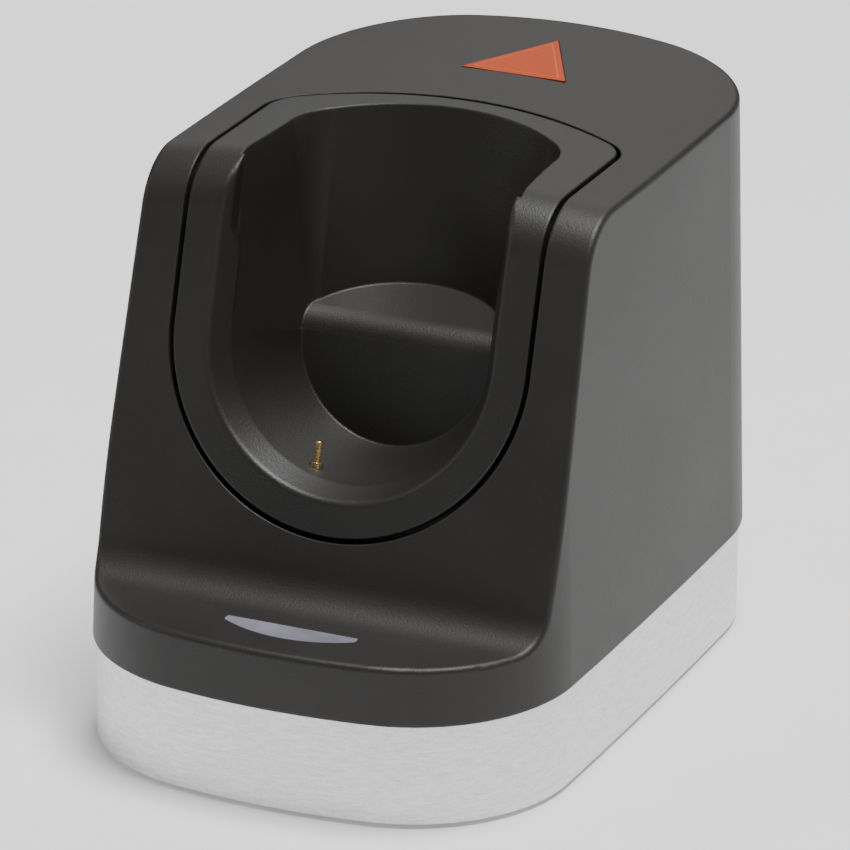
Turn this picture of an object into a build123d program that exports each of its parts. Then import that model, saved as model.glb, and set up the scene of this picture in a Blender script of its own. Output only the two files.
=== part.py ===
"""Desk charging cradle for a cordless hand-held diagnostic instrument.

Frame: origin at the centre of the footprint on the table, +Z up, front of the
cradle towards -Y, +X to the right when looking at the front.
Units: millimetres and degrees.
"""
from build123d import *
import math
import os

os.makedirs("parts", exist_ok=True)

# Footprint of the base
base_width = 80.0
base_depth = 124.0
front_arc_r = 106.0
back_arc_r = 86.0
side_arc_r = 1600.0         # the sides bow out very slightly
front_corner_r = 27.0
back_corner_r = 28.0

# Heights above the table
foot_gap = 0.8              # skirt and base plate stand this far off the table
skirt_top = 17.6
chin_top = 27.0             # flat ledge in front of the sloping face
crown_top = 92.9            # middle of the crowned top
crown_r = 320.0             # top is a shallow arch from side to side

# Black upper housing
wall = 2.4
housing_overhang = 0.6      # housing stands proud of the skirt
wall_draft = 1.8            # side walls lean in, degrees
slope_tilt = 16.0           # sloping face leans back, degrees
flare_r = 7.0               # chin runs up into the sloping face
fold_r = 10.5               # sloping face folds over into the top
edge_r = 0.9

# Centre of the U-shaped notch, on the sloping face
notch_centre_y = -31.1
notch_centre_z = 66.6

# Cradle insert, set flush into the sloping face and the top
insert_half_width = 30.0
insert_back_y = 15.3
insert_back_sag = 8.2       # the back edge is an arc, lower at its ends
insert_corner_r = 6.0
groove = 0.9                # dark gap around the insert
insert_wall = 2.0
flange_reach = 3.4          # flange behind the housing wall
flange_play = 0.15
slope_peg = (22.6, -26.0)   # fixing pegs, across and up the sloping face
top_peg = (14.0, 19.6)      # fixing pegs under the top
peg_r = 2.2
peg_play = 0.15
ear_r = 4.6
insert_screw_length = 3.4
insert_head_r = 3.4
screw_seat_gap = 0.25

# Pocket in the insert
lip_outer = 24.4            # half width of the notch at the sloping face
lip_inner = 22.0            # half width where the lip meets the pocket
lip_depth = 4.4
bowl_depth = 20.0           # the bowl ends at a flat boss face
bowl_end_r = 16.8
pocket_low = (22.0, 16.0, 22.5, 33.2)    # half widths, side depth, back depth
pocket_high = (25.2, 26.0, 24.6, 33.9)
pocket_corner_r = 12.0
shelf_z = 63.3              # top of the boss at its front edge
shelf_rise = 8.0            # degrees
lip_end = 11.5              # the lip runs out this far above the notch centre
lip_runout = 4.0            # height of the run-out's slanting stretch
lip_runout_half = 23.3
lip_runout_r = 6.0
lip_edge_r = 1.2            # rounding of the notch's outer edge
boss_edge_r = 5.0
pocket_reach = 46.0
pocket_overlap = 0.5

# Skirt and base plate
skirt_wall = 1.6
skirt_chamfer = 0.4
ledge_bottom = 3.0
ledge_top = 4.6
ledge_reach = 3.0
fit_gap = 0.1
lip_inset = 1.7             # housing rim that locates inside the skirt
lip_wall = 1.6
lip_drop = 5.0
lip_shelf = 1.4
pad_r = 4.6
plate_top = 3.0

# Rubber feet
foot_r = 5.5
foot_sink = 1.0
foot_x = 20.5
foot_y = 48.5

# Screws: thread radius, head radius, head height
m3_r = 1.5
m3_head_r = 2.8
m3_head = 1.6
m2_r = 1.0
m2_head_r = 1.9
m2_head = 1.2
thread_bite = 0.02          # screw threads cut their own way: hole is this much wider

# Housing bosses for the base screws
boss_r = 3.3
front_boss = (27.5, -37.0)
rear_boss = (28.0, 36.0)
front_boss_top = 23.0
rear_boss_top = 34.0
boss_rib = 2.0
boss_bottom = 5.2
base_screw_length = 13.0

# Ballast
ballast_size = (42.0, 22.0, 5.5)
ballast_y = -41.0
ballast_screw_x = 11.0

# Circuit boards
board_thickness = 1.6
board_width = 46.0
board_front_y = -22.0
board_back_y = 50.0
board_bottom = 7.0
post_r = 2.6
post_x = 19.6
post_y = (-18.2, 45.5)
chip_size = (7.0, 7.0, 1.0)
chip_y = 4.0
inductor_place = (11.0, 14.0)
inductor_size = (7.5, 4.0)
capacitor_size = (3.2, 8.0)
capacitor_places = ((-12.0, 22.0), (-4.0, 22.0), (-12.0, 33.0))
led_board_size = (35.0, 8.0)
led_board_y = -52.6
led_board_bottom = 19.2
led_size = (2.8, 2.0, 1.0)
led_pitch = 7.0
led_screw_x = 14.9
led_post_r = 2.3

# Light bar in the chin
light_half_length = 11.2
light_back_y = -51.3
light_end_y = -52.8
light_front_y = -56.1
light_end_r = 0.9
light_flange = 1.0
light_flange_thickness = 1.0
light_leg = (18.0, 2.2)
light_leg_bottom = 22.2
light_play = 0.05

# Power inlet at the back
inlet_size = (9.0, 12.5, 8.0)
inlet_back_y = 59.8
inlet_nose_r = 3.8
inlet_nose_end = 61.7
inlet_bore_r = 2.8
inlet_bore_depth = 9.0
inlet_pin_r = 0.7
inlet_pin_length = 8.0
inlet_play = 0.25

# Spring contact in the bowl's floor
contact_x = -6.0
contact_depth = 7.3         # behind the sloping face
barrel_r = 0.95
barrel_bore_r = 0.80
barrel_mouth_r = 0.60
barrel_mouth = 1.0
barrel_proud = 0.5
barrel_length = 14.0
barrel_floor = 1.0
pin_r = 0.54
pin_tail_r = 0.74
pin_tail = 3.0
pin_proud = 3.4             # above the barrel's mouth
pin_tip_r = 0.3
spring_r = 0.55
spring_wire_r = 0.11
spring_turns = 9
block_x = (-9.5, 9.5)
block_top = -25.8
block_bottom = -32.2
block_play = 0.05
block_back = 12.4
block_screw_x = (0.6, 5.6)
block_screw_y = -28.4
block_screw_length = 9.6

# Domed return contact in the pocket's right wall
return_height = 10.0        # above the notch centre, up the slope
return_depth = 10.0         # behind the sloping face
return_head_r = 2.2
return_seat = 0.7           # the head sits this deep in the wall
return_proud = 0.4
return_dome_r = 0.6
return_shank_r = 1.0
return_shank = 4.2
return_play = 0.1

# Wires from the contacts to the board
lead_r = 0.6
lead_start = 5.0
lead_end_x = 2.5            # either side of the header's middle
lead_end_y = -14.0
lead_bend_y = -27.0
lead_bend_z = 21.0
lead_bend_r = 3.0
lead_rise = 5.0
return_lead_x = 30.0
return_lead_low = (20.0, -14.0, 26.0)
header_size = (11.0, 5.0, 4.5)

# Badge on the top, a plain triangle
badge_half_width = 9.1
badge_front_y = 31.0
badge_back_y = 49.7
badge_x = 1.1
badge_thickness = 0.5
badge_proud = 0.04
badge_play = 0.08

# Label under the base
label_size = (34.0, 20.0)
label_y = 6.0
label_thickness = 0.25

# Derived sizes
half_width = base_width / 2
half_depth = base_depth / 2
tilt_sin = math.sin(math.radians(slope_tilt))
tilt_cos = math.cos(math.radians(slope_tilt))
tilt_tan = tilt_sin / tilt_cos
draft_tan = math.tan(math.radians(wall_draft))
far = 90.0                  # safely past the object on any side

# Local x is +X on both planes. Local y runs up the slope on the first and
# into the cradle on the second, whose normal runs up the slope.
slope_plane = Plane(
    origin=(0, notch_centre_y, notch_centre_z),
    x_dir=(1, 0, 0),
    z_dir=(0, -tilt_cos, tilt_sin),
)
pocket_plane = Plane(
    origin=(0, notch_centre_y, notch_centre_z),
    x_dir=(1, 0, 0),
    z_dir=(0, tilt_sin, tilt_cos),
)


def slope_y(z, inset=0.0):
    """Y of the sloping face at height z, set back by inset."""
    return notch_centre_y + (z - notch_centre_z) * tilt_tan + inset / tilt_cos


def bowl_radius(depth):
    """Half width of the pocket's lower bowl at a depth behind the slope."""
    share = (depth - lip_depth) / (bowl_depth - lip_depth)
    return lip_inner + (bowl_end_r - lip_inner) * share


def finish_part(builder, name):
    """Label a finished piece and write its STEP file."""
    builder.part.label = name
    export_step(builder.part, f"parts/{name}.step")


# ---------------------------------------------------------------- plan outline
def arcs_meet(side_radius, end_radius, end_centre_y, end):
    """Where the right side arc meets the front (end -1) or back (end +1) arc."""
    side_centre_x = half_width - side_arc_r
    span = math.hypot(side_centre_x, end_centre_y)
    along = (side_radius**2 - end_radius**2 + span**2) / (2 * span)
    across = math.sqrt(side_radius**2 - along**2)
    ux, uy = -side_centre_x / span, end_centre_y / span
    return (side_centre_x + along * ux - end * across * uy, along * uy + end * across * ux)


def plan_at(height, inset):
    """The plan outline at a height, shrunk by inset."""
    front = arcs_meet(side_arc_r - inset, front_arc_r - inset, front_arc_r - half_depth, -1)
    back = arcs_meet(side_arc_r - inset, back_arc_r - inset, half_depth - back_arc_r, 1)
    with BuildSketch(Plane.XY.offset(height), mode=Mode.PRIVATE) as section:
        with BuildLine():
            ThreePointArc((-front[0], front[1]), (0, inset - half_depth), front)
            ThreePointArc(front, (half_width - inset, 0), back)
            ThreePointArc(back, (0, half_depth - inset), (-back[0], back[1]))
            ThreePointArc((-back[0], back[1]), (inset - half_width, 0), (-front[0], front[1]))
        make_face()
        fillet(vertices().group_by(Axis.Y)[0], radius=front_corner_r - inset)
        fillet(vertices().group_by(Axis.Y)[-1], radius=back_corner_r - inset)
    return section.sketch


def housing_inset(height):
    """How far the drafted housing wall stands inside the base outline."""
    return (height - skirt_top) * draft_tan - housing_overhang


# --------------------------------------------------- outer form of the housing
def cradle_form(inset, bottom, rounded=False):
    """Closed form of the upper housing, shrunk by inset on every wall."""
    top = crown_top + 2
    fold_z = crown_top - inset
    with BuildPart() as form:
        loft([plan_at(bottom, housing_inset(bottom) + inset), plan_at(top, housing_inset(top) + inset)],
             ruled=True)
        with BuildSketch(Plane.YZ):
            with BuildLine():
                Polyline(
                    (-far, bottom),
                    (-far, chin_top - inset),
                    (slope_y(chin_top - inset, inset), chin_top - inset),
                    (slope_y(top + far, inset), top + far),
                    (far, top + far),
                    (far, bottom),
                    close=True,
                )
            make_face()
            fillet(vertices().sort_by_distance((0, slope_y(chin_top - inset, inset), chin_top - inset))[0],
                   radius=flare_r + inset)
        extrude(amount=far, both=True, mode=Mode.INTERSECT)
        with BuildSketch(Plane.XZ):
            with Locations((0, fold_z - crown_r)):
                Circle(crown_r)
        extrude(amount=far, both=True, mode=Mode.INTERSECT)
        fold_edge = edges().sort_by_distance((0, slope_y(fold_z, inset), fold_z))[0]
        fillet(fold_edge, radius=max(fold_r - inset, 4.0))
        if rounded:
            chin_edges = edges().filter_by(lambda e: abs(e.center().Z - chin_top) < 0.01)
            fillet(chin_edges.filter_by(lambda e: e.center().Y < -54 or abs(e.center().X) > 30), radius=edge_r)
    return form.part


def half_round(radius, rise):
    """A half disc under a strip of height rise."""
    with BuildSketch(mode=Mode.PRIVATE) as profile:
        with BuildLine():
            Line((-radius, rise), (-radius, 0))
            ThreePointArc((-radius, 0), (0, -radius), (radius, 0))
            Line((radius, 0), (radius, rise))
            Line((radius, rise), (-radius, rise))
        make_face()
    return profile.sketch


def pocket_section(sizes, grow):
    """One D-shaped section of the pocket, depth along local y."""
    front_half, side_half, side_depth, back = sizes
    front = lip_depth - grow
    with BuildSketch(mode=Mode.PRIVATE) as profile:
        with BuildLine():
            Line((-side_half - grow, side_depth), (-front_half - grow, front))
            Line((-front_half - grow, front), (front_half + grow, front))
            Line((front_half + grow, front), (side_half + grow, side_depth))
            ThreePointArc((side_half + grow, side_depth), (0, back + grow), (-side_half - grow, side_depth))
        make_face()
        corners = vertices().filter_by(lambda v: abs(v.Y - side_depth) < 0.01)
        fillet(corners, radius=pocket_corner_r + grow)
    return profile.sketch


def boss_block(inset):
    """Wedge behind the bowl: an upright face and a shelf that rises to the back."""
    face = lambda z: slope_y(z, bowl_depth + inset)
    shelf = shelf_z - inset
    rise = math.tan(math.radians(shelf_rise))
    with BuildPart(mode=Mode.PRIVATE) as block:
        with BuildSketch(Plane.YZ):
            with BuildLine():
                Polyline(
                    (face(shelf), shelf),
                    (half_depth, shelf + (half_depth - face(shelf)) * rise),
                    (half_depth, 0),
                    (face(0), 0),
                    close=True,
                )
            make_face()
        extrude(amount=half_width, both=True)
        front_edge = edges().filter_by(Axis.X).sort_by_distance((0, face(shelf), shelf))[0]
        fillet(front_edge, radius=max(boss_edge_r - inset, 0.3))
    return block.part


def pocket_form(grow):
    """Closed form of the pocket, grown by grow on every wall."""
    with BuildPart(mode=Mode.PRIVATE) as form:
        with BuildSketch(pocket_plane.offset(-pocket_overlap)) as low_section:
            add(pocket_section(pocket_low, grow))
        with BuildSketch(pocket_plane.offset(pocket_reach)) as high_section:
            add(pocket_section(pocket_high, grow))
        loft([low_section.sketch, high_section.sketch], ruled=True)
        with BuildSketch(slope_plane.offset(grow - lip_depth)) as mouth:
            add(half_round(bowl_radius(lip_depth) + grow, pocket_overlap))
        with BuildSketch(slope_plane.offset(-bowl_depth - grow)) as bowl_end:
            add(half_round(bowl_radius(bowl_depth + grow) + grow, pocket_overlap))
        loft([mouth.sketch, bowl_end.sketch], ruled=True)
        add(boss_block(grow), mode=Mode.SUBTRACT)
    return form.part


def notch_form():
    """Wedge that opens the front wall, narrower towards the pocket."""
    bevel = (lip_outer - lip_inner) / lip_depth
    with BuildPart(mode=Mode.PRIVATE) as form:
        with BuildSketch(slope_plane.offset(1)) as notch_front:
            add(half_round(lip_outer + bevel, pocket_reach))
        with BuildSketch(slope_plane.offset(-lip_depth)) as notch_back:
            add(half_round(lip_inner, pocket_reach))
        loft([notch_front.sketch, notch_back.sketch], ruled=True)
    return form.part


def on_notch_edge(edge):
    """Whether an edge lies where the notch cuts the sloping face."""
    place = slope_plane.to_local_coords(edge.center())
    return abs(place.Z) < 0.05 and math.hypot(place.X, min(place.Y, 0)) < lip_outer + 0.1


def envelope(grow):
    """Column that bounds the insert: U-shaped on the slope, arched at the back."""
    half = insert_half_width + grow
    side_y = insert_back_y - insert_back_sag
    with BuildPart(mode=Mode.PRIVATE) as column:
        with BuildSketch(slope_plane):
            add(half_round(half, far))
        extrude(amount=far, both=True)
        with BuildSketch(Plane.XY):
            with BuildLine():
                Line((-half, -far), (half, -far))
                Line((half, -far), (half, side_y))
                ThreePointArc((half, side_y), (0, insert_back_y + grow), (-half, side_y))
                Line((-half, side_y), (-half, -far))
            make_face()
            fillet(vertices().group_by(Axis.Y)[-1], radius=insert_corner_r + grow)
        extrude(amount=far * 2, mode=Mode.INTERSECT)
    return column.part


def screw(plane, thread_r, length, head_r, head_height):
    """Socket screw: the head stands on the plane, the thread runs behind it."""
    with BuildPart(mode=Mode.PRIVATE) as body:
        with BuildSketch(plane):
            Circle(head_r)
        extrude(amount=head_height)
        with BuildSketch(plane.offset(head_height)):
            RegularPolygon(radius=thread_r, side_count=6)
        extrude(amount=-head_height * 0.6, mode=Mode.SUBTRACT)
        with BuildSketch(plane):
            Circle(thread_r)
        extrude(amount=-length)
    return body.part


def rod(plane, radius, start, end):
    """Round rod on a plane's axis, from start to end along its normal."""
    with BuildPart(mode=Mode.PRIVATE) as body:
        with BuildSketch(plane.offset(start)):
            Circle(radius)
        extrude(amount=end - start)
    return body.part


def block(x, y, z):
    """Upright box between two values on each axis."""
    with BuildPart(mode=Mode.PRIVATE) as body:
        with BuildSketch(Plane.XY.offset(z[0])):
            with Locations(((x[0] + x[1]) / 2, (y[0] + y[1]) / 2)):
                Rectangle(x[1] - x[0], y[1] - y[0])
        extrude(amount=z[1] - z[0])
    return body.part


def ring(z, outer_inset, inner_inset):
    """Ring that follows the plan outline between two insets and two heights."""
    with BuildPart(mode=Mode.PRIVATE) as body:
        with BuildSketch(Plane.XY.offset(z[0])):
            add(plan_at(0, outer_inset))
            add(plan_at(0, inner_inset), mode=Mode.SUBTRACT)
        extrude(amount=z[1] - z[0])
    return body.part


def badge_outline(grow):
    """Triangle of the badge, grown by grow."""
    with BuildSketch(mode=Mode.PRIVATE) as profile:
        Polygon(
            (badge_x - badge_half_width, badge_front_y),
            (badge_x + badge_half_width, badge_front_y),
            (badge_x, badge_back_y),
            align=None,
        )
        if grow > 0:
            offset(amount=grow)
    return profile.sketch


def light_outline(grow):
    """Outline of the light bar: straight at the back, bowed at the front."""
    with BuildSketch(mode=Mode.PRIVATE) as profile:
        with BuildLine():
            Line((-light_half_length, light_back_y), (light_half_length, light_back_y))
            Line((light_half_length, light_back_y), (light_half_length, light_end_y))
            ThreePointArc(
                (light_half_length, light_end_y),
                (0, light_front_y),
                (-light_half_length, light_end_y),
            )
            Line((-light_half_length, light_end_y), (-light_half_length, light_back_y))
        make_face()
        fillet(vertices(), radius=light_end_r / 2)
        if grow > 0:
            offset(amount=grow)
    return profile.sketch


# Places that several pieces share
boss_places = [(sx * x, y) for x, y in (front_boss, rear_boss) for sx in (-1, 1)]
foot_places = [(sx * foot_x, sy * foot_y) for sy in (-1, 1) for sx in (-1, 1)]
post_places = [(sx * post_x, y) for y in post_y for sx in (-1, 1)]
led_post_places = [(sx * led_screw_x, led_board_y) for sx in (-1, 1)]
ballast_screw_places = [(sx * ballast_screw_x, ballast_y) for sx in (-1, 1)]
board_top = board_bottom + board_thickness
led_board_top = led_board_bottom + board_thickness
chin_ceiling = chin_top - wall
flange_back = wall + flange_play + insert_wall
inlet_centre_z = board_top + inlet_size[2] / 2
block_front = flange_back + block_play

# Planes whose normal points from the outer surface inwards, at each insert peg
peg_planes = [
    Plane(origin=slope_plane.from_local_coords((sx * slope_peg[0], slope_peg[1], 0)),
          x_dir=(1, 0, 0), z_dir=-slope_plane.z_dir)
    for sx in (-1, 1)
] + [
    Plane(origin=(sx * top_peg[0], top_peg[1], crown_top - top_peg[0] ** 2 / (2 * crown_r)),
          x_dir=(1, 0, 0), z_dir=(0, 0, -1))
    for sx in (-1, 1)
]


# Plane on the bowl's floor whose normal is the travel of the spring contact
contact_floor = -math.sqrt(bowl_radius(contact_depth) ** 2 - contact_x**2)
contact_plane = Plane(
    origin=slope_plane.from_local_coords((contact_x, contact_floor, -contact_depth)),
    x_dir=(1, 0, 0),
    z_dir=pocket_plane.z_dir,
)


def pocket_side(depth, height):
    """Half width of the pocket's side wall at a depth and a height."""
    up = (height + pocket_overlap) / (pocket_reach + pocket_overlap)
    front, side, side_depth, _ = [low + (high - low) * up for low, high in zip(pocket_low, pocket_high)]
    return front + (side - front) * (depth - lip_depth) / (side_depth - lip_depth)


# Plane on the pocket's right wall, normal pointing into the pocket
return_x = pocket_side(return_depth, return_height)
return_lean = pocket_side(return_depth - 0.5, return_height) - pocket_side(return_depth + 0.5, return_height)
return_plane = Plane(
    origin=slope_plane.from_local_coords((return_x, return_height, -return_depth)),
    x_dir=pocket_plane.z_dir,
    z_dir=slope_plane.z_dir * return_lean - Vector(1, 0, 0),
)

# Seats of the block's screws, on its back, normal pointing away from the slope
block_screw_seats = [
    Plane(origin=slope_plane.from_local_coords((x, block_screw_y, -block_back)),
          x_dir=(1, 0, 0), z_dir=-slope_plane.z_dir)
    for x in block_screw_x
]

outer = cradle_form(0, skirt_top, rounded=True)
inner = cradle_form(wall, skirt_top - 1)
behind_wall = cradle_form(wall + flange_play, skirt_top - 1)
behind_flange = cradle_form(flange_back, skirt_top - 1)
pocket = pocket_form(0)

# ------------------------------------------------------------- cradle insert
with BuildPart() as flange_bounds:
    add(envelope(flange_reach))
    for plane in peg_planes:
        add(rod(plane, ear_r, 0, flange_back + 2))

with BuildPart() as flange:
    add(behind_wall)
    add(flange_bounds.part, mode=Mode.INTERSECT)
    add(behind_flange, mode=Mode.SUBTRACT)

with BuildPart() as pocket_wall:
    add(pocket_form(insert_wall))
    add(outer, mode=Mode.INTERSECT)
    add(envelope(0), mode=Mode.INTERSECT)

with BuildPart() as cradle_insert:
    add(outer)
    add(envelope(0), mode=Mode.INTERSECT)
    add(behind_flange, mode=Mode.SUBTRACT)
    add(flange.part)
    add(pocket_wall.part)
    add(pocket, mode=Mode.SUBTRACT)
    # notch through the front wall, bevelled towards the pocket
    add(notch_form(), mode=Mode.SUBTRACT)
    # the lip runs out where the face folds over into the top
    with BuildSketch(slope_plane.offset(1)):
        Polygon(
            (-lip_inner, lip_end - lip_runout),
            (lip_inner, lip_end - lip_runout),
            (lip_inner, lip_end),
            (lip_runout_half, lip_end + lip_runout),
            (lip_runout_half, pocket_reach),
            (-lip_runout_half, pocket_reach),
            (-lip_runout_half, lip_end + lip_runout),
            (-lip_inner, lip_end),
            align=None,
        )
        bends = vertices().filter_by(lambda v: lip_end - 1 < v.Y < lip_end + lip_runout + 1)
        fillet(bends, radius=lip_runout_r)
    extrude(amount=-lip_depth - 1.5, mode=Mode.SUBTRACT)
    for plane in peg_planes:
        add(rod(plane, peg_r + peg_play, wall, flange_back + 1), mode=Mode.SUBTRACT)
    add(rod(contact_plane, barrel_r + thread_bite, -far / 3, 2), mode=Mode.SUBTRACT)
    add(rod(return_plane, return_head_r + return_play, -return_seat, 2), mode=Mode.SUBTRACT)
    add(rod(return_plane, return_shank_r + thread_bite, -return_shank - 1, 0), mode=Mode.SUBTRACT)
    for seat in block_screw_seats:
        add(rod(seat, m2_r + thread_bite, -block_screw_length, 0), mode=Mode.SUBTRACT)
    # round the outer edge of the notch
    fillet(edges().filter_by(on_notch_edge), radius=lip_edge_r)
finish_part(cradle_insert, "cradle_insert")


# ------------------------------------------------------------- upper housing
with BuildPart() as upper_housing:
    add(outer)
    add(inner, mode=Mode.SUBTRACT)
    add(envelope(groove), mode=Mode.SUBTRACT)
    # rim that sits on the skirt and locates inside it
    add(ring((skirt_top, skirt_top + lip_shelf), wall / 2, lip_inset + lip_wall))
    add(ring((skirt_top - lip_drop, skirt_top), lip_inset, lip_inset + lip_wall))
    # screw bosses, each joined to the side wall by a rib
    for x, y in boss_places:
        top = front_boss_top if y < 0 else rear_boss_top
        add(rod(Plane(origin=(x, y, 0)), boss_r, boss_bottom, top))
        rib_x = sorted((x, math.copysign(half_width - lip_inset - 0.5, x)))
        add(block(rib_x, (y - boss_rib / 2, y + boss_rib / 2), (skirt_top, top)))
    for plane in peg_planes:
        add(rod(plane, peg_r, wall - 0.4, flange_back))
        add(rod(plane, m2_r + thread_bite, flange_back - insert_screw_length - 0.1, flange_back),
            mode=Mode.SUBTRACT)
    for x, y in led_post_places:
        add(rod(Plane(origin=(x, y, 0)), led_post_r, led_board_top, chin_ceiling + 0.5))
        add(rod(Plane(origin=(x, y, 0)), m2_r + thread_bite, led_board_top, chin_ceiling),
            mode=Mode.SUBTRACT)
    for x, y in boss_places:
        add(rod(Plane(origin=(x, y, 0)), m3_r + thread_bite, boss_bottom, boss_bottom + base_screw_length),
            mode=Mode.SUBTRACT)
    # window for the light bar
    with BuildSketch(Plane.XY.offset(chin_ceiling - 1)):
        add(light_outline(light_play))
    extrude(amount=wall + 2, mode=Mode.SUBTRACT)
    # recess for the badge
    with BuildSketch(Plane.XY.offset(crown_top - badge_thickness + badge_proud)):
        add(badge_outline(badge_play))
    extrude(amount=badge_thickness + 1, mode=Mode.SUBTRACT)
    # the power inlet passes through the locating rim
    window_x = inlet_size[0] / 2 + inlet_play * 2
    add(block((-window_x, window_x), (inlet_back_y - 6, half_depth + 2), (0, skirt_top - wall / 4)),
        mode=Mode.SUBTRACT)
finish_part(upper_housing, "upper_housing")

# ------------------------------------------------------------------ base skirt
with BuildPart() as base_skirt:
    add(ring((foot_gap, skirt_top), 0, skirt_wall))
    chamfer(edges().group_by(Axis.Z)[-1], length=skirt_chamfer)
    add(ring((ledge_bottom, ledge_top), skirt_wall / 2, skirt_wall + ledge_reach))
    inlet_plane = Plane(origin=(0, 0, inlet_centre_z), x_dir=(1, 0, 0), z_dir=(0, 1, 0))
    add(rod(inlet_plane, inlet_nose_r + inlet_play, inlet_back_y - 1, half_depth + 2), mode=Mode.SUBTRACT)
finish_part(base_skirt, "base_skirt")

# ------------------------------------------------------------------ base plate
with BuildPart() as base_plate:
    with BuildSketch(Plane.XY.offset(foot_gap)):
        add(plan_at(0, skirt_wall + fit_gap))
    extrude(amount=plate_top - foot_gap)
    for x, y in boss_places:
        upright = Plane(origin=(x, y, 0))
        add(rod(upright, pad_r, foot_gap, boss_bottom))
        add(rod(upright, m3_head_r + 0.3, 0, foot_gap + m3_head + 0.2), mode=Mode.SUBTRACT)
        add(rod(upright, m3_r + 0.2, 0, boss_bottom), mode=Mode.SUBTRACT)
    for x, y in post_places:
        upright = Plane(origin=(x, y, 0))
        add(rod(upright, post_r, foot_gap, board_bottom))
        add(rod(upright, m2_r + thread_bite, board_bottom - 4, board_bottom), mode=Mode.SUBTRACT)
    for x, y in ballast_screw_places:
        upright = Plane(origin=(x, y, 0))
        add(rod(upright, m3_head_r * 0.8 + 0.2, 0, foot_gap + m2_head + 0.1), mode=Mode.SUBTRACT)
        add(rod(upright, m2_r + 0.15, 0, plate_top), mode=Mode.SUBTRACT)
    for x, y in foot_places:
        add(rod(Plane(origin=(x, y, 0)), foot_r + fit_gap, 0, foot_gap + foot_sink), mode=Mode.SUBTRACT)
finish_part(base_plate, "base_plate")

with BuildPart() as rubber_feet:
    for x, y in foot_places:
        add(rod(Plane(origin=(x, y, 0)), foot_r, 0, foot_gap + foot_sink))
    chamfer(edges().group_by(Axis.Z)[0], length=0.4)
finish_part(rubber_feet, "rubber_feet")

with BuildPart() as base_screws:
    for x, y in boss_places:
        seat = Plane(origin=(x, y, foot_gap + m3_head + 0.2), x_dir=(1, 0, 0), z_dir=(0, 0, -1))
        add(screw(seat, m3_r, base_screw_length, m3_head_r, m3_head))
finish_part(base_screws, "base_screws")

# --------------------------------------------------------------------- ballast
with BuildPart() as ballast_plate:
    with BuildSketch(Plane.XY.offset(plate_top)):
        with Locations((0, ballast_y)):
            RectangleRounded(ballast_size[0], ballast_size[1], 3)
    extrude(amount=ballast_size[2])
    chamfer(edges().group_by(Axis.Z)[-1], length=0.6)
    for x, y in ballast_screw_places:
        add(rod(Plane(origin=(x, y, 0)), m2_r + thread_bite, 0, plate_top + 4.5), mode=Mode.SUBTRACT)
finish_part(ballast_plate, "ballast_plate")

with BuildPart() as ballast_screws:
    for x, y in ballast_screw_places:
        seat = Plane(origin=(x, y, foot_gap + m2_head + 0.1), x_dir=(1, 0, 0), z_dir=(0, 0, -1))
        add(screw(seat, m2_r, 5.0, m2_head_r, m2_head))
finish_part(ballast_screws, "ballast_screws")

# --------------------------------------------------------- light bar and LEDs
with BuildPart() as light_bar_lens:
    with BuildSketch(Plane.XY.offset(chin_ceiling)):
        add(light_outline(0))
    extrude(amount=wall)
    with BuildSketch(Plane.XY.offset(chin_ceiling - light_flange_thickness)):
        add(light_outline(light_flange))
    extrude(amount=light_flange_thickness)
    leg_y = (light_back_y + light_front_y) / 2
    add(block((-light_leg[0] / 2, light_leg[0] / 2), (leg_y - light_leg[1] / 2, leg_y + light_leg[1] / 2),
              (light_leg_bottom, chin_ceiling)))
finish_part(light_bar_lens, "light_bar_lens")

with BuildPart() as led_board:
    add(block((-led_board_size[0] / 2, led_board_size[0] / 2),
              (led_board_y - led_board_size[1] / 2, led_board_y + led_board_size[1] / 2),
              (led_board_bottom, led_board_top)))
    for x, y in led_post_places:
        add(rod(Plane(origin=(x, y, 0)), m2_r + 0.15, 0, led_board_top), mode=Mode.SUBTRACT)
finish_part(led_board, "led_board")

with BuildPart() as status_leds:
    with BuildSketch(Plane.XY.offset(led_board_top)):
        with Locations((0, leg_y)):
            with GridLocations(led_pitch, 1, 3, 1):
                Rectangle(led_size[0], led_size[1])
    extrude(amount=led_size[2])
finish_part(status_leds, "status_leds")

with BuildPart() as led_board_screws:
    for x, y in led_post_places:
        seat = Plane(origin=(x, y, led_board_bottom), x_dir=(1, 0, 0), z_dir=(0, 0, -1))
        add(screw(seat, m2_r, 4.5, m2_head_r, m2_head))
finish_part(led_board_screws, "led_board_screws")

# ---------------------------------------------------------- main circuit board
with BuildPart() as main_circuit_board:
    add(block((-board_width / 2, board_width / 2), (board_front_y, board_back_y), (board_bottom, board_top)))
    for x, y in post_places:
        add(rod(Plane(origin=(x, y, 0)), m2_r + 0.15, 0, board_top), mode=Mode.SUBTRACT)
finish_part(main_circuit_board, "main_circuit_board")

with BuildPart() as board_screws:
    for x, y in post_places:
        add(screw(Plane(origin=(x, y, board_top)), m2_r, 5.0, m2_head_r, m2_head))
finish_part(board_screws, "board_screws")

with BuildPart() as controller_chip:
    add(block((-chip_size[0] / 2, chip_size[0] / 2), (chip_y - chip_size[1] / 2, chip_y + chip_size[1] / 2),
              (board_top, board_top + chip_size[2])))
    chamfer(edges().group_by(Axis.Z)[-1], length=0.15)
finish_part(controller_chip, "controller_chip")

with BuildPart() as power_inductor:
    with BuildSketch(Plane.XY.offset(board_top)):
        with Locations((inductor_place[0], inductor_place[1])):
            RectangleRounded(inductor_size[0], inductor_size[0], 1.2)
    extrude(amount=inductor_size[1])
    chamfer(edges().group_by(Axis.Z)[-1], length=0.5)
finish_part(power_inductor, "power_inductor")

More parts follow.
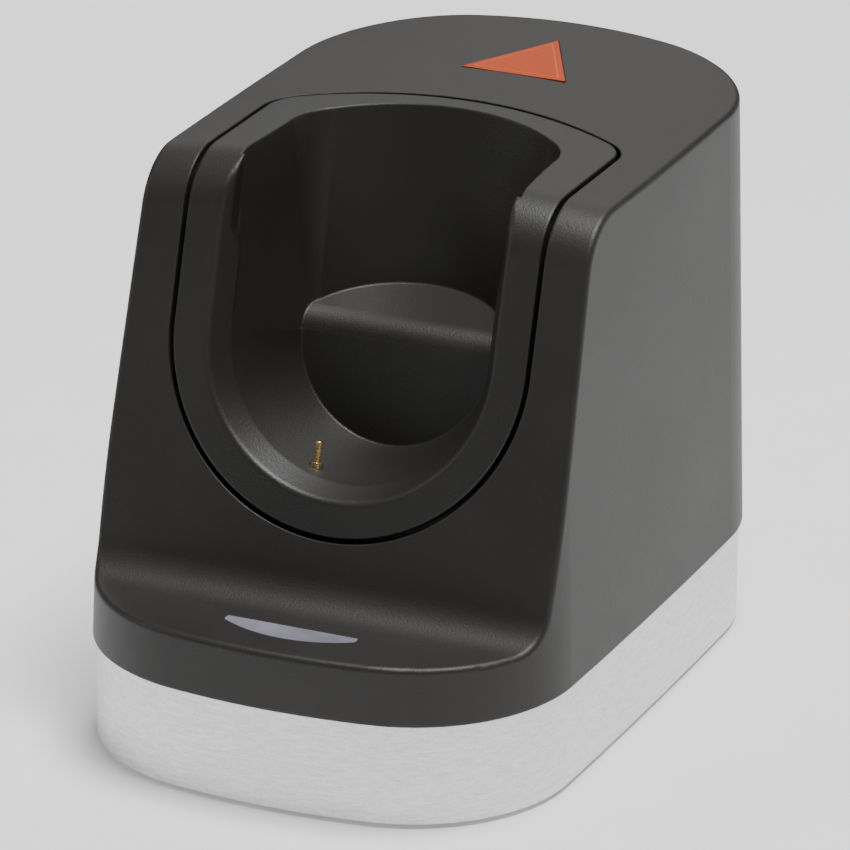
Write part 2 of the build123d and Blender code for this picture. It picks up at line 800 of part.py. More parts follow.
with BuildPart() as filter_capacitors:
    for x, y in capacitor_places:
        add(rod(Plane(origin=(x, y, board_top)), capacitor_size[0], 0, capacitor_size[1]))
    fillet(edges().group_by(Axis.Z)[-1], radius=0.4)
finish_part(filter_capacitors, "filter_capacitors")

with BuildPart() as wire_header:
    add(block((-header_size[0] / 2, header_size[0] / 2),
              (lead_end_y - header_size[1] / 2, lead_end_y + header_size[1] / 2),
              (board_top, board_top + header_size[2])))
finish_part(wire_header, "wire_header")

# ----------------------------------------------------------------- power inlet
with BuildPart() as power_inlet:
    add(block((-inlet_size[0] / 2, inlet_size[0] / 2), (inlet_back_y - inlet_size[1], inlet_back_y),
              (board_top, board_top + inlet_size[2])))
    add(rod(inlet_plane, inlet_nose_r, inlet_back_y - 1, inlet_nose_end))
    add(rod(inlet_plane, inlet_bore_r, inlet_nose_end - inlet_bore_depth, inlet_nose_end + 1),
        mode=Mode.SUBTRACT)
finish_part(power_inlet, "power_inlet")

with BuildPart() as power_inlet_pin:
    bore_floor = inlet_nose_end - inlet_bore_depth
    add(rod(inlet_plane, inlet_pin_r, bore_floor, bore_floor + inlet_pin_length))
    fillet(edges().group_by(Axis.Y)[-1], radius=inlet_pin_r * 0.6)
finish_part(power_inlet_pin, "power_inlet_pin")

# ------------------------------------------------------------- spring contacts
with BuildPart() as contact_block:
    with BuildSketch(slope_plane.offset(-block_front)):
        with Locations(((block_x[0] + block_x[1]) / 2, (block_top + block_bottom) / 2)):
            RectangleRounded(block_x[1] - block_x[0], block_top - block_bottom, 1.0)
    extrude(amount=block_front - block_back)
    add(rod(contact_plane, barrel_r + thread_bite, -far / 3, 0), mode=Mode.SUBTRACT)
    for seat in block_screw_seats:
        add(rod(seat, m2_r + 0.1, -block_back, 1), mode=Mode.SUBTRACT)
finish_part(contact_block, "contact_block")

with BuildPart() as contact_block_screws:
    for seat in block_screw_seats:
        add(screw(seat, m2_r, block_screw_length, m2_head_r, m2_head))
finish_part(contact_block_screws, "contact_block_screws")

barrel_low = barrel_proud - barrel_length
tail_top = barrel_proud - barrel_mouth - 0.05
tail_bottom = tail_top - pin_tail
with BuildPart() as contact_barrel:
    add(rod(contact_plane, barrel_r, barrel_low, barrel_proud))
    add(rod(contact_plane, barrel_bore_r, barrel_low + barrel_floor, barrel_proud - barrel_mouth),
        mode=Mode.SUBTRACT)
    add(rod(contact_plane, barrel_mouth_r, barrel_proud - barrel_mouth - 0.5, barrel_proud + 1),
        mode=Mode.SUBTRACT)
finish_part(contact_barrel, "contact_barrel")

with BuildPart() as contact_pin:
    add(rod(contact_plane, pin_tail_r, tail_bottom, tail_top))
    add(rod(contact_plane, pin_r, tail_top - 0.5, barrel_proud + pin_proud))
    tip = contact_plane.from_local_coords((0, 0, barrel_proud + pin_proud))
    fillet(edges().filter_by(GeomType.CIRCLE).sort_by_distance(tip)[0], radius=pin_tip_r)
finish_part(contact_pin, "contact_pin")

with BuildPart() as contact_spring:
    spring_low = barrel_low + barrel_floor + spring_wire_r + 0.02
    spring_high = tail_bottom - spring_wire_r - 0.02
    spring_base = Plane(origin=contact_plane.from_local_coords((0, 0, spring_low)),
                        x_dir=contact_plane.x_dir, z_dir=contact_plane.z_dir)
    coil = spring_base * Helix(pitch=(spring_high - spring_low) / spring_turns,
                               height=spring_high - spring_low, radius=spring_r)
    with BuildSketch(Plane(origin=coil @ 0, z_dir=coil % 0)):
        Circle(spring_wire_r)
    sweep(path=coil, is_frenet=True)
finish_part(contact_spring, "contact_spring")

with BuildPart() as return_contact:
    add(rod(return_plane, return_head_r, -return_seat, return_proud))
    crown = return_plane.from_local_coords((0, 0, return_proud))
    fillet(edges().filter_by(GeomType.CIRCLE).sort_by_distance(crown)[0], radius=return_dome_r)
    add(rod(return_plane, return_shank_r, -return_shank, -return_seat))
finish_part(return_contact, "return_contact")


def lead_form(points, start):
    """Insulated wire along points with rounded corners, starting on a plane."""
    with BuildPart(mode=Mode.PRIVATE) as lead:
        with BuildLine() as route:
            FilletPolyline(*points, radius=lead_bend_r)
        with BuildSketch(start):
            Circle(lead_r)
        sweep(path=route.wire())
    return lead.part


header_top = board_top + header_size[2]
contact_lead_points = [
    contact_plane.from_local_coords((0, 0, barrel_low)),
    contact_plane.from_local_coords((0, 0, barrel_low - lead_start)),
    Vector((contact_x - lead_end_x) / 2, lead_bend_y, lead_bend_z),
    Vector(-lead_end_x, lead_end_y, header_top + lead_rise),
    Vector(-lead_end_x, lead_end_y, header_top),
]
with BuildPart() as contact_lead:
    add(lead_form(contact_lead_points, Plane(origin=contact_lead_points[0], z_dir=-contact_plane.z_dir)))
finish_part(contact_lead, "contact_lead")

return_end = return_plane.from_local_coords((0, 0, -return_shank))
return_lead_points = [
    return_end,
    return_plane.from_local_coords((0, 0, -return_shank - lead_start)),
    Vector(return_lead_x, lead_end_y, (return_end.Z + return_lead_low[2]) / 2),
    Vector(*return_lead_low),
    Vector(lead_end_x, lead_end_y, header_top + lead_rise),
    Vector(lead_end_x, lead_end_y, header_top),
]
with BuildPart() as return_lead:
    add(lead_form(return_lead_points, Plane(origin=return_end, z_dir=-return_plane.z_dir)))
finish_part(return_lead, "return_lead")

with BuildPart() as insert_screws:
    for plane in peg_planes:
        seat = Plane(origin=plane.from_local_coords((0, 0, flange_back + screw_seat_gap)), x_dir=(1, 0, 0),
                     z_dir=plane.z_dir)
        add(screw(seat, m2_r, insert_screw_length, insert_head_r, m2_head))
finish_part(insert_screws, "insert_screws")

# ------------------------------------------------------------ badge and label
with BuildPart() as badge:
    with BuildSketch(Plane.XY.offset(crown_top - badge_thickness + badge_proud)):
        add(badge_outline(0))
    extrude(amount=badge_thickness)
finish_part(badge, "badge")

with BuildPart() as rating_label:
    with BuildSketch(Plane.XY.offset(foot_gap - label_thickness)):
        with Locations((0, label_y)):
            RectangleRounded(label_size[0], label_size[1], 1.5)
    extrude(amount=label_thickness)
finish_part(rating_label, "rating_label")
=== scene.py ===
"""Looks of the desk charging cradle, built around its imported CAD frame.

Metres, +Z up, front of the cradle towards -Y.
"""
import math

import bmesh
import bpy
from mathutils import Matrix, Vector


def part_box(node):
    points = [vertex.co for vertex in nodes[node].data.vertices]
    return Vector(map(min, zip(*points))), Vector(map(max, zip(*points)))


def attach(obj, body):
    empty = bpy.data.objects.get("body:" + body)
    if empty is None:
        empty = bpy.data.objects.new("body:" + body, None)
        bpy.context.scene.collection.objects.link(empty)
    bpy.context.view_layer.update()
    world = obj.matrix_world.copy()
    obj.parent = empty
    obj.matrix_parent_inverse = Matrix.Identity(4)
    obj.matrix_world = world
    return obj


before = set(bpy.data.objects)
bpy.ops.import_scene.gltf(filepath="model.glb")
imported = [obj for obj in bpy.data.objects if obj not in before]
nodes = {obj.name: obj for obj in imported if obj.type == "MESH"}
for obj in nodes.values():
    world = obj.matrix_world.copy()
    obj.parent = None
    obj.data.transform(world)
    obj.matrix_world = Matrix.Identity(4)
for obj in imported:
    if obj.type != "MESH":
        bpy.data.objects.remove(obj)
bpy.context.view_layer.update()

MM = 0.001

# ------------------------------------------------------------------ the camera
VIEW_AZIMUTH = math.radians(23.60)
VIEW_ELEVATION = math.radians(21.50)
VIEW_ROLL = math.radians(0.60)
VIEW_DISTANCE = 1.1417
VIEW_TARGET = Vector((0.0, 0.0, 0.0458))
VIEW_LEFT = 0.37 * MM            # the camera stands this far left of and below the target's line
VIEW_DOWN = 3.06 * MM
LENS_MM = 300.4

back = Vector((
    math.sin(VIEW_AZIMUTH) * math.cos(VIEW_ELEVATION),
    -math.cos(VIEW_AZIMUTH) * math.cos(VIEW_ELEVATION),
    math.sin(VIEW_ELEVATION),
))
level_right = Vector((math.cos(VIEW_AZIMUTH), math.sin(VIEW_AZIMUTH), 0.0))
level_up = back.cross(level_right)
right = level_right * math.cos(VIEW_ROLL) + level_up * math.sin(VIEW_ROLL)
up = level_up * math.cos(VIEW_ROLL) - level_right * math.sin(VIEW_ROLL)

camera_data = bpy.data.cameras.new("camera")
camera_data.lens = LENS_MM
camera_data.sensor_width = 36.0
camera_data.clip_start = 0.05
camera_data.clip_end = 30.0
camera = bpy.data.objects.new("camera", camera_data)
bpy.context.scene.collection.objects.link(camera)
camera_place = VIEW_TARGET + back * VIEW_DISTANCE - right * VIEW_LEFT - up * VIEW_DOWN
turn = Matrix((right, up, back)).transposed().to_4x4()
camera.matrix_world = Matrix.Translation(camera_place) @ turn
bpy.context.scene.camera = camera


# ------------------------------------------------------------- material helper
class Look:
    """A node material under construction."""

    def __init__(self, name):
        self.material = bpy.data.materials.new(name)
        self.material.use_nodes = True
        self.tree = self.material.node_tree
        self.shader = self.tree.nodes["Principled BSDF"]
        coordinates = self.tree.nodes.new("ShaderNodeTexCoord")
        self.place = coordinates.outputs["Object"]

    def node(self, kind, **settings):
        made = self.tree.nodes.new(kind)
        for key, value in settings.items():
            setattr(made, key, value)
        return made

    def link(self, source, target):
        self.tree.links.new(source, target)

    def stretched(self, scale):
        """Object coordinates stretched by a scale on each axis."""
        mapping = self.node("ShaderNodeMapping")
        mapping.inputs["Scale"].default_value = scale
        self.link(self.place, mapping.inputs["Vector"])
        return mapping.outputs["Vector"]

    def noise(self, scale, detail=2.0, roughness=0.5, place=None):
        made = self.node("ShaderNodeTexNoise")
        made.inputs["Scale"].default_value = scale
        made.inputs["Detail"].default_value = detail
        made.inputs["Roughness"].default_value = roughness
        self.link(place or self.place, made.inputs["Vector"])
        return made.outputs["Fac"]

    def cells(self, scale):
        made = self.node("ShaderNodeTexVoronoi")
        made.inputs["Scale"].default_value = scale
        self.link(self.place, made.inputs["Vector"])
        return made.outputs["Distance"]

    def span(self, value, low, high, to_low=0.0, to_high=1.0):
        """Value between low and high, mapped to another span."""
        made = self.node("ShaderNodeMapRange", clamp=True)
        self.link(value, made.inputs["Value"])
        made.inputs["From Min"].default_value = low
        made.inputs["From Max"].default_value = high
        made.inputs["To Min"].default_value = to_low
        made.inputs["To Max"].default_value = to_high
        return made.outputs["Result"]

    def maths(self, operation, first, second):
        made = self.node("ShaderNodeMath", operation=operation)
        for socket, value in zip(made.inputs, (first, second)):
            if isinstance(value, (int, float)):
                socket.default_value = value
            else:
                self.link(value, socket)
        return made.outputs["Value"]

    def mixed(self, factor, first, second):
        """Colour mixed by a factor."""
        made = self.node("ShaderNodeMix", data_type="RGBA")
        self.link(factor, made.inputs["Factor"])
        for socket, value in ((made.inputs[6], first), (made.inputs[7], second)):
            if isinstance(value, tuple):
                socket.default_value = (*value, 1.0)
            else:
                self.link(value, socket)
        return made.outputs[2]

    def rounded(self, radius):
        """Normal of the surface with its edges rounded by a radius."""
        bevel = self.node("ShaderNodeBevel", samples=6)
        bevel.inputs["Radius"].default_value = radius
        return bevel.outputs["Normal"]

    def edges(self, radius):
        """One along convex and concave edges, nought on flat faces."""
        geometry = self.node("ShaderNodeNewGeometry")
        dot = self.node("ShaderNodeVectorMath", operation="DOT_PRODUCT")
        self.link(self.rounded(radius), dot.inputs[0])
        self.link(geometry.outputs["Normal"], dot.inputs[1])
        return self.span(dot.outputs["Value"], 0.999, 0.90)

    def bump(self, height, distance, soft_edge):
        """Normal with a fine relief over edges that are rounded by soft_edge."""
        made = self.node("ShaderNodeBump")
        made.inputs["Distance"].default_value = distance
        self.link(height, made.inputs["Height"])
        self.link(self.rounded(soft_edge), made.inputs["Normal"])
        return made.outputs["Normal"]

    def base(self, roughness=0.5, metallic=0.0, specular=0.5, coat=0.0, coat_roughness=0.1):
        self.shader.inputs["Roughness"].default_value = roughness
        self.shader.inputs["Metallic"].default_value = metallic
        self.shader.inputs["Specular IOR Level"].default_value = specular
        self.shader.inputs["Coat Weight"].default_value = coat
        self.shader.inputs["Coat Roughness"].default_value = coat_roughness

    def colour(self, value):
        self.link(value, self.shader.inputs["Base Color"])

    def gloss(self, value):
        self.link(value, self.shader.inputs["Roughness"])

    def normal(self, value):
        self.link(value, self.shader.inputs["Normal"])


# ------------------------------------------------------------------- materials
def moulded(name, dark, light, worn, rough, grain=3200.0, depth=0.03, soft_edge=0.5, specular=0.5):
    """Moulded plastic with a fine spark-eroded texture and slightly polished edges."""
    look = Look(name)
    look.base(specular=specular)
    broad = look.noise(28.0, 4.0, 0.6)
    fine = look.noise(grain, 3.0, 0.65)
    pits = look.cells(grain * 0.8)
    tone = look.mixed(look.span(broad, 0.3, 0.7), dark, light)
    speck = look.mixed(look.span(fine, 0.35, 0.7, 0.0, 0.45), tone, light)
    patchy = look.span(look.noise(420.0, 3.0), 0.35, 0.65, 0.15, 0.6)
    rubbed = look.maths("MULTIPLY", look.edges(0.5 * MM), patchy)
    look.colour(look.mixed(rubbed, speck, worn))
    gloss = look.span(broad, 0.25, 0.75, rough - 0.03, rough + 0.03)
    look.gloss(look.maths("SUBTRACT", gloss, look.maths("MULTIPLY", rubbed, 0.10)))
    height = look.maths("ADD", fine, look.maths("MULTIPLY", pits, 0.5))
    look.normal(look.bump(height, depth * MM, soft_edge * MM))
    return look.material


def brushed(name, dark, light, rough, stretch, scale=900.0, depth=0.006, painted_edge_highlight=0.4):
    """Brushed metal: long fine lines, faint blotches and a painted highlight along the edges."""
    look = Look(name)
    look.base(metallic=1.0)
    lines = look.noise(scale, 4.0, 0.7, look.stretched(stretch))
    grit = look.noise(4200.0, 2.0, 0.6)
    blotch = look.noise(36.0, 3.0)
    both = look.maths("ADD", look.maths("MULTIPLY", lines, 0.6), look.maths("MULTIPLY", grit, 0.4))
    tone = look.mixed(look.span(both, 0.38, 0.62), dark, light)
    # Painted highlight: the colour is lightened along the edges to stand in for an edge highlight.
    painted_highlight = look.maths("MULTIPLY", look.edges(0.25 * MM), painted_edge_highlight)
    look.colour(look.mixed(painted_highlight, tone, tuple(min(1.0, v * 1.15) for v in light)))
    look.gloss(look.maths("ADD", look.span(blotch, 0.3, 0.7, rough - 0.03, rough + 0.03),
                          look.span(lines, 0.3, 0.7, -0.05, 0.05)))
    look.normal(look.bump(both, depth * MM, 0.12 * MM))
    return look.material


def plated(name, dark, light, rough, scale=1500.0):
    """Plated metal: faint mottling and small scratches."""
    look = Look(name)
    look.base(metallic=1.0)
    mottle = look.noise(scale, 4.0, 0.6)
    scratch = look.noise(scale * 0.8, 5.0, 0.7, look.stretched((1.0, 7.0, 0.6)))
    look.colour(look.mixed(look.span(mottle, 0.35, 0.65), dark, light))
    look.gloss(look.span(scratch, 0.3, 0.7, rough - 0.07, rough + 0.09))
    look.normal(look.bump(scratch, 0.004 * MM, 0.08 * MM))
    return look.material


def film(name, dark, light, rough, coat=0.4, scale=700.0):
    """Printed or painted film: slight unevenness under a thin clear coat."""
    look = Look(name)
    look.base(specular=0.25, coat=coat, coat_roughness=0.30)
    patch = look.noise(scale * 0.15, 3.0)
    dots = look.noise(scale * 5.0, 2.0, 0.6)
    both = look.maths("ADD", look.maths("MULTIPLY", patch, 0.5), look.maths("MULTIPLY", dots, 0.5))
    look.colour(look.mixed(look.span(both, 0.35, 0.65), dark, light))
    look.gloss(look.span(patch, 0.3, 0.7, rough - 0.05, rough + 0.05))
    look.normal(look.bump(dots, 0.006 * MM, 0.10 * MM))
    return look.material


def frosted(name, dark, light, rough, transmission):
    """Frosted clear plastic, milky, with a finely etched surface."""
    look = Look(name)
    look.base(coat=0.25, coat_roughness=0.25)
    look.shader.inputs["Transmission Weight"].default_value = transmission
    look.shader.inputs["IOR"].default_value = 1.49
    etched = look.noise(5200.0, 2.0, 0.6)
    cloud = look.noise(160.0, 3.0)
    look.colour(look.mixed(look.span(cloud, 0.3, 0.7), dark, light))
    look.gloss(look.span(etched, 0.3, 0.7, rough - 0.06, rough + 0.06))
    look.normal(look.bump(etched, 0.012 * MM, 0.2 * MM))
    return look.material


def soft_rubber(name, dark, light, rough=0.72):
    """Matt elastomer with a dusty bloom."""
    look = Look(name)
    look.base(specular=0.3)
    bloom = look.noise(240.0, 4.0, 0.6)
    grain = look.noise(3600.0, 2.0)
    look.colour(look.mixed(look.span(bloom, 0.4, 0.75), dark, light))
    look.gloss(look.span(bloom, 0.3, 0.7, rough - 0.06, rough + 0.06))
    look.normal(look.bump(grain, 0.02 * MM, 0.15 * MM))
    return look.material


def solder_mask(name, dark, light, copper):
    """Circuit board: tracks faintly raised under green solder mask."""
    look = Look(name)
    look.base(coat=0.5, coat_roughness=0.2)
    grid = look.node("ShaderNodeTexBrick")
    grid.offset = 0.5
    layout = {"Scale": 150.0, "Mortar Size": 0.035, "Brick Width": 0.9, "Row Height": 0.28}
    for socket, value in layout.items():
        grid.inputs[socket].default_value = value
    look.link(look.place, grid.inputs["Vector"])
    weave = look.noise(900.0, 2.0)
    mask = look.mixed(look.span(weave, 0.35, 0.65), dark, light)
    tracks = look.maths("MULTIPLY", grid.outputs["Fac"], 0.7)
    look.colour(look.mixed(tracks, mask, copper))
    look.gloss(look.span(weave, 0.3, 0.7, 0.32, 0.42))
    look.normal(look.bump(grid.outputs["Fac"], 0.03 * MM, 0.06 * MM))
    return look.material


looks = {
    "housing": moulded("housing_plastic", (0.0150, 0.0136, 0.0124), (0.0215, 0.0197, 0.0182),
                       (0.040, 0.037, 0.034), 0.48, specular=0.40),
    "insert": moulded("insert_plastic", (0.0105, 0.0094, 0.0085), (0.0155, 0.0141, 0.0128),
                      (0.024, 0.022, 0.020), 0.46, soft_edge=0.6),
    "skirt": brushed("skirt_metal", (0.60, 0.595, 0.60), (0.86, 0.855, 0.86), 0.42, (0.16, 0.16, 1.0),
                     scale=2600.0, depth=0.010),
    "base": moulded("base_plastic", (0.010, 0.010, 0.010), (0.016, 0.016, 0.016), (0.04, 0.04, 0.04), 0.55,
                    grain=2400.0, depth=0.05, soft_edge=0.2),
    "rubber": soft_rubber("foot_rubber", (0.012, 0.012, 0.012), (0.035, 0.034, 0.033)),
    "ballast": brushed("ballast_steel", (0.34, 0.34, 0.35), (0.48, 0.48, 0.49), 0.40, (1.0, 0.08, 1.0)),
    "screw": plated("screw_zinc", (0.46, 0.46, 0.47), (0.62, 0.62, 0.63), 0.34),
    "lens": frosted("light_bar_plastic", (0.17, 0.17, 0.21), (0.26, 0.26, 0.31), 0.48, 0.15),
    "board": solder_mask("board_mask", (0.010, 0.085, 0.030), (0.016, 0.12, 0.045), (0.05, 0.22, 0.07)),
    "led": frosted("led_resin", (0.70, 0.70, 0.60), (0.86, 0.85, 0.74), 0.22, 0.4),
    "chip": moulded("chip_resin", (0.012, 0.012, 0.013), (0.022, 0.022, 0.024), (0.05, 0.05, 0.05), 0.50,
                    grain=5200.0, depth=0.02, soft_edge=0.05),
    "ferrite": moulded("inductor_ferrite", (0.045, 0.043, 0.042), (0.085, 0.082, 0.080),
                       (0.14, 0.14, 0.14), 0.62, grain=2600.0, depth=0.05, soft_edge=0.1),
    "can": brushed("capacitor_metal", (0.58, 0.58, 0.60), (0.74, 0.74, 0.76), 0.33, (1.0, 1.0, 0.1)),
    "header": moulded("header_nylon", (0.020, 0.020, 0.020), (0.034, 0.034, 0.034), (0.08, 0.08, 0.08), 0.52,
                      grain=3000.0, depth=0.03, soft_edge=0.08),
    "gold": plated("contact_gold", (0.86, 0.56, 0.20), (1.0, 0.74, 0.34), 0.26, 2600.0),
    "spring": plated("spring_wire", (0.50, 0.50, 0.50), (0.68, 0.68, 0.68), 0.24, 2600.0),
    "wire_red": soft_rubber("wire_red_sleeve", (0.34, 0.018, 0.012), (0.50, 0.035, 0.022), 0.48),
    "wire_black": soft_rubber("wire_black_sleeve", (0.014, 0.014, 0.014), (0.030, 0.030, 0.030), 0.48),
    "badge": film("badge_enamel", (0.34, 0.036, 0.001), (0.41, 0.048, 0.002), 0.50, 0.05),
    "badge_line": film("badge_border", (0.44, 0.075, 0.008), (0.52, 0.095, 0.012), 0.46, 0.05),
    "label": film("label_film", (0.36, 0.36, 0.36), (0.46, 0.46, 0.46), 0.46, 0.2),
    "print": film("label_print", (0.020, 0.020, 0.020), (0.045, 0.045, 0.045), 0.50, 0.1),
}

node_looks = {
    "upper_housing": "housing", "cradle_insert": "insert", "base_skirt": "skirt", "base_plate": "base",
    "rubber_feet": "rubber", "ballast_plate": "ballast", "ballast_screws": "screw", "base_screws": "screw",
    "insert_screws": "screw", "light_bar_lens": "lens", "led_board": "board", "status_leds": "led",
    "led_board_screws": "screw", "main_circuit_board": "board", "board_screws": "screw",
    "controller_chip": "chip", "power_inductor": "ferrite", "filter_capacitors": "can",
    "wire_header": "header", "power_inlet": "base", "power_inlet_pin": "gold", "contact_block": "header",
    "contact_block_screws": "screw", "contact_barrel": "gold", "contact_pin": "gold",
    "contact_spring": "spring", "contact_lead": "wire_red", "return_contact": "gold",
    "return_lead": "wire_black", "badge": "badge", "rating_label": "label",
}
for node_name, look_name in node_looks.items():
    node_object = nodes[node_name]
    if not node_object.material_slots:
        node_object.data.materials.append(looks[look_name])
    for material_slot in node_object.material_slots:
        material_slot.material = looks[look_name]


# --------------------------------------------------------------- added pieces
def piece_from(name, mesh_maker, look, smooth=True):
    """A mesh piece on the cradle, from a function that fills a bmesh."""
    form = bmesh.new()
    mesh_maker(form)
    bmesh.ops.recalc_face_normals(form, faces=form.faces)
    mesh = bpy.data.meshes.new(name)
    form.to_mesh(mesh)
    form.free()
    piece = bpy.data.objects.new(name, mesh)
    bpy.context.scene.collection.objects.link(piece)
    mesh.materials.append(looks[look])
    for face in mesh.polygons:
        face.use_smooth = smooth
    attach(piece, "cradle")
    return piece


def add_slab(form, outline, low, high):
    """A flat plate with a polygon outline between two heights."""
    bottom = [form.verts.new((x, y, low)) for x, y in outline]
    top = [form.verts.new((x, y, high)) for x, y in outline]
    form.faces.new(list(reversed(bottom)))
    form.faces.new(top)
    for i in range(len(outline)):
        j = (i + 1) % len(outline)
        form.faces.new((bottom[i], bottom[j], top[j], top[i]))


def add_box(form, low, high):
    corners = [(low[0], low[1]), (high[0], low[1]), (high[0], high[1]), (low[0], high[1])]
    add_slab(form, corners, low[2], high[2])


def add_turned(form, centre, profile, steps=48):
    """A closed ring turned about a vertical axis from (radius, height) points."""
    loops = []
    for k in range(steps):
        angle = 2 * math.pi * k / steps
        loops.append([
            form.verts.new((centre[0] + r * math.cos(angle), centre[1] + r * math.sin(angle), z))
            for r, z in profile
        ])
    for k in range(steps):
        near, far = loops[k], loops[(k + 1) % steps]
        for i in range(len(profile)):
            j = (i + 1) % len(profile)
            form.faces.new((near[i], far[i], far[j], near[j]))


# Border of the plain triangular badge, a thin raised frame
badge_low, badge_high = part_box("badge")
badge_middle = (badge_low.x + badge_high.x) / 2


def triangle(inset):
    """Corners of the badge's triangle, pulled in by inset."""
    half = (badge_high.x - badge_low.x) / 2
    depth = badge_high.y - badge_low.y
    slant = math.hypot(half, depth)
    front = badge_low.y + inset
    tip = badge_high.y - inset * slant / half
    side = half * (tip - front) / depth
    return [(badge_middle - side, front), (badge_middle + side, front), (badge_middle, tip)]


def badge_frame(form):
    outer, inner = triangle(0.9 * MM), triangle(1.25 * MM)
    low, high = badge_high.z - 0.05 * MM, badge_high.z + 0.03 * MM
    rings = [[form.verts.new((x, y, z)) for x, y in ring]
             for ring, z in ((outer, low), (outer, high), (inner, high), (inner, low))]
    for a in range(4):
        b = (a + 1) % 4
        for i in range(3):
            j = (i + 1) % 3
            form.faces.new((rings[a][i], rings[a][j], rings[b][j], rings[b][i]))


piece_from("badge_border", badge_frame, "badge_line", smooth=False)

# Tread rings under each rubber foot
feet_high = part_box("rubber_feet")[1]
foot_radius = 5.5 * MM
foot_x = feet_high.x - foot_radius
foot_y = feet_high.y - foot_radius
foot_places = [(sx * foot_x, sy * foot_y) for sx in (-1, 1) for sy in (-1, 1)]
tread_height = 0.08 * MM
tread_half = 0.35 * MM


def foot_treads(form):
    for centre in foot_places:
        for radius in (1.4 * MM, 2.8 * MM, 4.2 * MM):
            add_turned(form, centre, [
                (radius - tread_half, tread_height),
                (radius - tread_half * 0.5, 0.0),
                (radius + tread_half * 0.5, 0.0),
                (radius + tread_half, tread_height),
            ])


piece_from("foot_tread_rings", foot_treads, "rubber")

# Blank bars and a frame on the label under the base
label_low, label_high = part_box("rating_label")
label_margin = 3.0 * MM
bar_half = 0.45 * MM


def label_bars(form):
    z_low, z_high = label_low.z - 0.04 * MM, label_low.z + 0.05 * MM
    rows = ((0.80, 0.55), (0.62, 0.75), (0.48, 0.68), (0.34, 0.40))
    width = label_high.x - label_low.x
    height = label_high.y - label_low.y
    left = label_low.x + label_margin
    for share, length in rows:
        y = label_low.y + height * share
        bar_end = left + (width - 2 * label_margin) * length
        add_box(form, (left, y - bar_half, z_low), (bar_end, y + bar_half, z_high))
    frame_low, frame_high = 1.2 * MM, 1.5 * MM
    for y in (label_low.y + frame_low, label_high.y - frame_high):
        add_box(form, (label_low.x + frame_high, y, z_low), (label_high.x - frame_high, y + 0.3 * MM, z_high))
    for x in (label_low.x + frame_low, label_high.x - frame_high):
        add_box(form, (x, label_low.y + frame_low, z_low), (x + 0.3 * MM, label_high.y - frame_low, z_high))


piece_from("label_bars", label_bars, "print", smooth=False)

# Legs of the controller chip
chip_low, chip_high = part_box("controller_chip")
board_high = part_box("main_circuit_board")[1]


def chip_legs(form):
    middle = (chip_low + chip_high) / 2
    half = (chip_high.x - chip_low.x) / 2
    for side in range(4):
        turned = Matrix.Rotation(side * math.pi / 2, 3, "Z")
        for k in range(8):
            along = (k - 3.5) * 0.75 * MM
            profile = [(half - 0.1 * MM, 0.55), (half + 0.35 * MM, 0.55), (half + 0.55 * MM, 0.12),
                       (half + 1.0 * MM, 0.12), (half + 1.0 * MM, 0.0), (half + 0.48 * MM, 0.0),
                       (half + 0.28 * MM, 0.43), (half - 0.1 * MM, 0.43)]
            sides = []
            for offset in (-0.15 * MM, 0.15 * MM):
                sides.append([
                    form.verts.new(turned @ Vector((reach, along + offset, 0.0))
                                   + Vector((middle.x, middle.y, board_high.z + rise * MM)))
                    for reach, rise in profile
                ])
            form.faces.new(sides[0])
            form.faces.new(list(reversed(sides[1])))
            for i in range(len(profile)):
                j = (i + 1) % len(profile)
                form.faces.new((sides[0][i], sides[1][i], sides[1][j], sides[0][j]))


piece_from("chip_legs", chip_legs, "screw", smooth=False)

# Plastic bases round the lower ends of the capacitors
can_low, can_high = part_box("filter_capacitors")
can_radius = 3.2 * MM
can_left, can_right = can_low.x + can_radius, can_high.x - can_radius
can_front, can_back = can_low.y + can_radius, can_high.y - can_radius
can_places = [(can_left, can_front), (can_right, can_front), (can_left, can_back)]


def can_bases(form):
    z = board_high.z
    for centre in can_places:
        add_turned(form, centre, [
            (can_radius - 0.1 * MM, z),
            (can_radius + 0.35 * MM, z),
            (can_radius + 0.35 * MM, z + 0.9 * MM),
            (can_radius + 0.1 * MM, z + 1.2 * MM),
            (can_radius - 0.1 * MM, z + 1.2 * MM),
        ])


piece_from("capacitor_bases", can_bases, "header")

# Solder cones of the wire header
header_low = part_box("wire_header")[0]
header_pitch = 2.5 * MM


def header_pins(form):
    for x in (-header_pitch, 0.0, header_pitch):
        centre = (x, header_low.y - 0.9 * MM)
        z = board_high.z
        add_turned(form, centre, [
            (0.25 * MM, z),
            (0.7 * MM, z),
            (0.5 * MM, z + 0.25 * MM),
            (0.3 * MM, z + 0.6 * MM),
            (0.2 * MM, z + 0.6 * MM),
        ], 20)


piece_from("header_solder", header_pins, "screw")


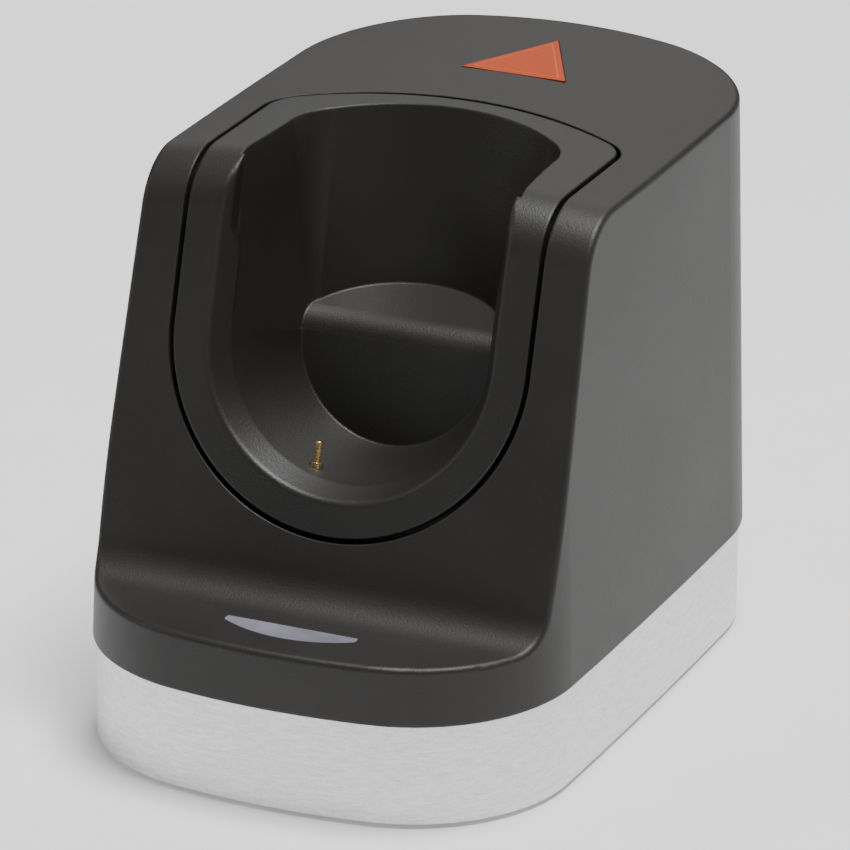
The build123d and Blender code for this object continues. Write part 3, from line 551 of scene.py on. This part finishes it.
# ------------------------------------------------------------ floor and lights
def floor_mesh():
    form = bmesh.new()
    radius = 6.0
    rings = [[form.verts.new((r * math.cos(2 * math.pi * k / 64), r * math.sin(2 * math.pi * k / 64), 0.0))
              for k in range(64)] for r in (0.4, 1.2, radius)]
    form.faces.new(rings[0])
    for inner, outer in zip(rings, rings[1:]):
        for k in range(64):
            j = (k + 1) % 64
            form.faces.new((inner[k], outer[k], outer[j], inner[j]))
    mesh = bpy.data.meshes.new("floor")
    form.to_mesh(mesh)
    form.free()
    return mesh


floor = bpy.data.objects.new("floor", floor_mesh())
bpy.context.scene.collection.objects.link(floor)
floor_look = Look("floor_card")
floor_look.base(roughness=0.9, specular=0.1)
floor_look.shader.inputs["Emission Color"].default_value = (1.0, 1.0, 1.0, 1.0)
floor_look.shader.inputs["Emission Strength"].default_value = 0.22
floor_look.colour(floor_look.mixed(floor_look.span(floor_look.noise(60.0, 3.0), 0.3, 0.7), (0.86, 0.86, 0.86),
                                   (0.88, 0.88, 0.88)))
floor.data.materials.append(floor_look.material)


def soft_light(name, place, aim, size, power):
    """A square soft light at a place, turned towards a point."""
    data = bpy.data.lights.new(name, "AREA")
    data.shape = "RECTANGLE"
    data.size, data.size_y = size
    data.energy = power
    light = bpy.data.objects.new(name, data)
    bpy.context.scene.collection.objects.link(light)
    direction = (Vector(aim) - Vector(place)).normalized()
    light.matrix_world = Matrix.Translation(place) @ direction.to_track_quat("-Z", "Y").to_matrix().to_4x4()


soft_light("top_light", (0.22, 0.05, 1.4), (0.0, 0.0, 0.0), (0.6, 0.6), 32.0)
soft_light("back_light", (-0.55, 1.25, 0.80), (0.0, 0.0, 0.05), (1.0, 0.6), 2.6)
soft_light("right_light", (1.3, 0.95, 0.35), (0.0, 0.0, 0.05), (0.8, 0.6), 1.8)
soft_light("left_light", (-1.3, -0.60, 0.85), (0.0, 0.0, 0.05), (0.5, 0.5), 3.2)

world = bpy.data.worlds.new("studio")
world.use_nodes = True
world.node_tree.nodes["Background"].inputs["Color"].default_value = (0.95, 0.97, 1.0, 1.0)
world.node_tree.nodes["Background"].inputs["Strength"].default_value = 0.05
bpy.context.scene.world = world

bpy.context.view_layer.update()
